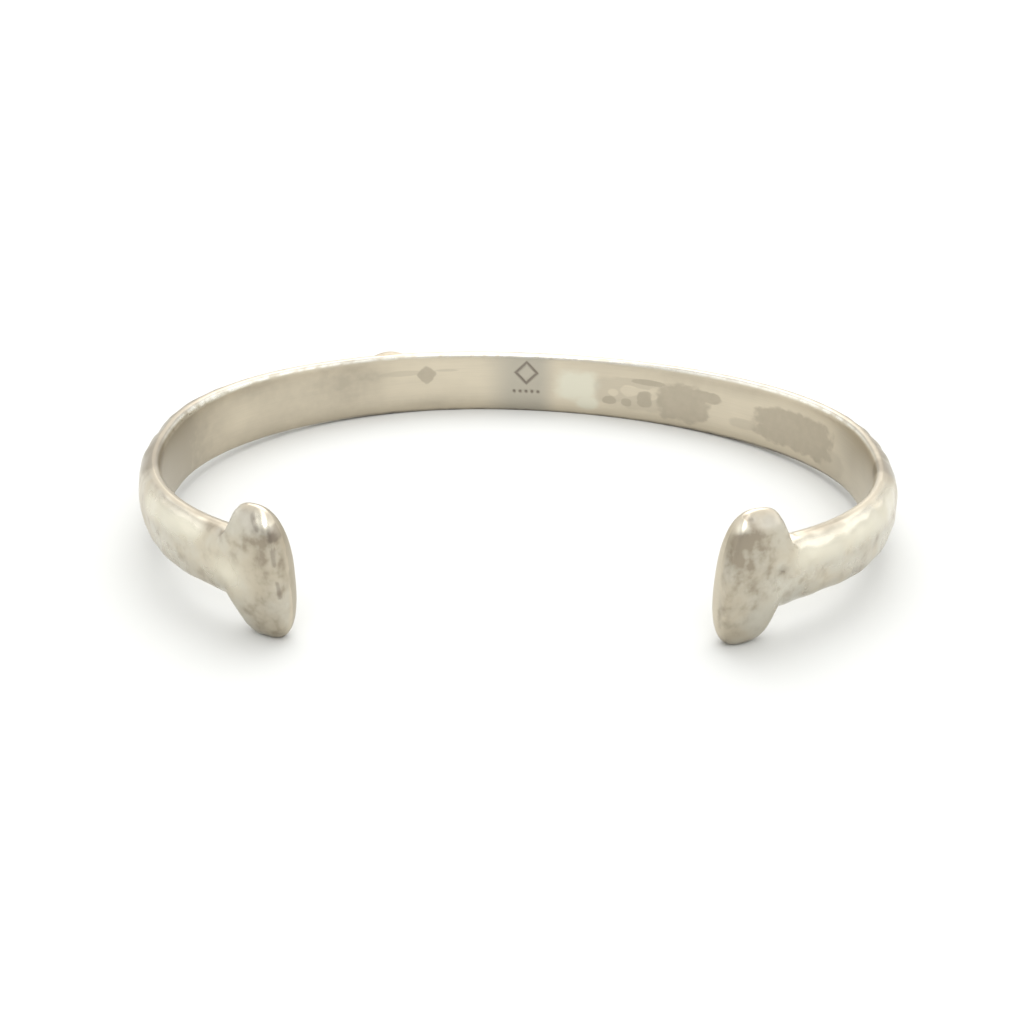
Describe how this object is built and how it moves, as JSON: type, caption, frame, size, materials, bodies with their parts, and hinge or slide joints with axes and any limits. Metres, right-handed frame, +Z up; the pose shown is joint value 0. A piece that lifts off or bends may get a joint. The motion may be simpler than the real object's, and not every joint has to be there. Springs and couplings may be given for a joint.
{
  "type": "cuff bracelet",
  "caption": "Open oval cuff bracelet of hammered silver: a half-round band, flat inside, with each end forged out into a tall rounded pad.",
  "frame": {"origin": "on the floor, below the middle of the cuff's bounding box", "axes": "+Z up from the floor the cuff lies on; +Y towards the closed back, so the opening faces -Y; +X to the right when looking into the opening"},
  "size_m": [0.0622, 0.0482, 0.01],
  "materials": {
    "silver": "hand-hammered silver, softly polished outside, brushed and lightly tarnished inside"
  },
  "bodies": {
    "root": {"cuff": "silver"}
  },
  "joints": []
}
